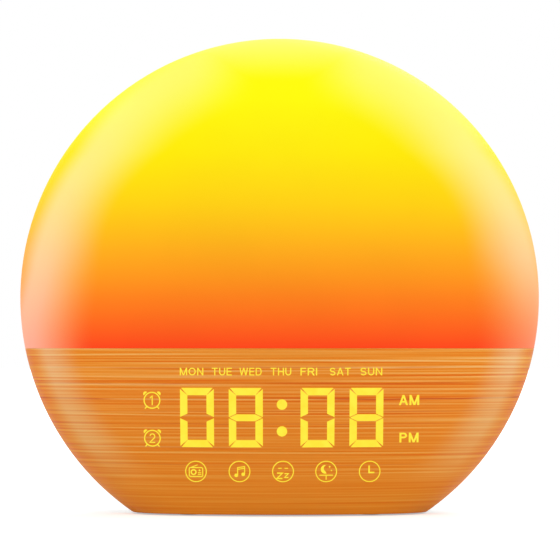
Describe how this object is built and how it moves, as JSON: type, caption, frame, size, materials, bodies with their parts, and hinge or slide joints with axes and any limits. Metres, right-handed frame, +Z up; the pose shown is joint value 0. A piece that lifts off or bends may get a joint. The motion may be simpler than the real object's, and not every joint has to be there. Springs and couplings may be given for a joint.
{
  "type": "sunrise alarm clock",
  "caption": "Round bedside alarm clock with a glowing domed lamp over a wood-look display front, and a rear housing with speaker, keys, sockets and coin cell.",
  "frame": {"origin": "middle of the footprint's bounding box, on the surface that the rubber feet stand on", "axes": "+Z up, the display faces -Y, +X is the viewer's right hand when facing the display"},
  "size_m": [0.2, 0.0863, 0.183],
  "materials": {
    "opal_diffuser": "opal, lit from behind: yellow at the top to red orange at the seam",
    "wood_grain_shell": "satin printed wood grain, streaks level",
    "housing_plastic": "fine spark-eroded texture",
    "key_plastic": "satin",
    "plunger_plastic": "moulded",
    "reflector_plastic": "white reflector",
    "board_white": "white solder mask",
    "board_green": "green solder mask",
    "led_package": "phosphor over white package",
    "display_led": "lit yellow",
    "smoke_film": "smoked diffusing film",
    "black_plastic": "moulded black",
    "chip_black": "moulded epoxy",
    "capacitor_can": "drawn can",
    "steel_screw": "zinc plated",
    "socket_steel": "nickel plated sheet",
    "cell_steel": "stainless can",
    "basket_steel": "black paint",
    "magnet_ferrite": "ground ferrite",
    "speaker_paper": "treated paper",
    "gasket_foam": "foam",
    "mesh_cloth": "woven dust cloth",
    "black_rubber": "moulded rubber",
    "pad_rubber": "soft silicone",
    "connector_nylon": "moulded nylon",
    "cable_vinyl": "ribbed flat cable"
  },
  "bodies": {
    "clock": {"lamp_dome": "opal_diffuser", "wood_fascia": "wood_grain_shell", "rear_housing": "housing_plastic", "seam_baffle": "reflector_plastic", "reflector_tray": "reflector_plastic", "lamp_board": "board_white", "lamp_leds": "led_package", "lamp_board_screws": "steel_screw", "display_film": "smoke_film", "display_mask": "black_plastic", "display_board": "board_green", "display_leds": "display_led", "display_board_screws": "steel_screw", "tact_switches": "black_plastic", "key_board": "board_green", "main_board": "board_green", "board_chips": "chip_black", "board_capacitors": "capacitor_can", "board_screws": "steel_screw", "coin_cell": "cell_steel", "coin_cell_holder": "black_plastic", "power_inlet_shell": "socket_steel", "power_inlet_core": "black_plastic", "charging_port_shell": "socket_steel", "charging_port_core": "black_plastic", "wire_gland": "black_rubber", "speaker_basket": "basket_steel", "speaker_surround": "black_rubber", "speaker_cone": "speaker_paper", "speaker_magnet": "magnet_ferrite", "speaker_yoke": "socket_steel", "speaker_gasket": "gasket_foam", "speaker_mesh": "mesh_cloth", "speaker_screws": "steel_screw", "housing_screws": "steel_screw", "rubber_feet": "pad_rubber", "board_connectors": "connector_nylon", "flat_cables": "cable_vinyl"},
    "snooze_button": {"snooze_key": "key_plastic", "snooze_plunger": "plunger_plastic"},
    "sound_button": {"sound_key": "key_plastic", "sound_plunger": "plunger_plastic"},
    "minus_button": {"minus_key": "key_plastic", "minus_plunger": "plunger_plastic"},
    "plus_button": {"plus_key": "key_plastic", "plus_plunger": "plunger_plastic"},
    "lamp_button": {"lamp_key": "key_plastic", "lamp_plunger": "plunger_plastic"},
    "sleep_timer_button": {"sleep_timer_key": "key_plastic", "sleep_timer_plunger": "plunger_plastic"},
    "clock_set_button": {"clock_set_key": "key_plastic", "clock_set_plunger": "plunger_plastic"},
    "alarm_two_button": {"alarm_two_key": "key_plastic", "alarm_two_plunger": "plunger_plastic"},
    "alarm_one_button": {"alarm_one_key": "key_plastic", "alarm_one_plunger": "plunger_plastic"},
    "coin_cell_cap": {"coin_cell_cap": "housing_plastic"}
  },
  "joints": [
    {"name": "snooze_press", "type": "slide", "parent": "clock", "child": "snooze_button", "axis": [0, -1, 0], "range_m": [0, 0.0005], "stiffness_N_per_m": 900, "springref_m": -0.001},
    {"name": "sound_press", "type": "slide", "parent": "clock", "child": "sound_button", "axis": [0, -1, 0], "range_m": [0, 0.0005], "stiffness_N_per_m": 600, "springref_m": -0.001},
    {"name": "minus_press", "type": "slide", "parent": "clock", "child": "minus_button", "axis": [0, -1, 0], "range_m": [0, 0.0005], "stiffness_N_per_m": 600, "springref_m": -0.001},
    {"name": "plus_press", "type": "slide", "parent": "clock", "child": "plus_button", "axis": [0, -1, 0], "range_m": [0, 0.0005], "stiffness_N_per_m": 600, "springref_m": -0.001},
    {"name": "lamp_press", "type": "slide", "parent": "clock", "child": "lamp_button", "axis": [0, -1, 0], "range_m": [0, 0.0005], "stiffness_N_per_m": 600, "springref_m": -0.001},
    {"name": "sleep_timer_press", "type": "slide", "parent": "clock", "child": "sleep_timer_button", "axis": [0, -1, 0], "range_m": [0, 0.0005], "stiffness_N_per_m": 600, "springref_m": -0.001},
    {"name": "clock_set_press", "type": "slide", "parent": "clock", "child": "clock_set_button", "axis": [0, -1, 0], "range_m": [0, 0.0005], "stiffness_N_per_m": 600, "springref_m": -0.001},
    {"name": "alarm_two_press", "type": "slide", "parent": "clock", "child": "alarm_two_button", "axis": [0, -1, 0], "range_m": [0, 0.0005], "stiffness_N_per_m": 600, "springref_m": -0.001},
    {"name": "alarm_one_press", "type": "slide", "parent": "clock", "child": "alarm_one_button", "axis": [0, -1, 0], "range_m": [0, 0.0005], "stiffness_N_per_m": 600, "springref_m": -0.001},
    {"name": "coin_cell_cap_twist", "type": "hinge", "parent": "clock", "child": "coin_cell_cap", "pos_m": [0.031, 0.04175, 0.0296], "axis": [0, 1, 0], "range_deg": [0, 40]}
  ]
}
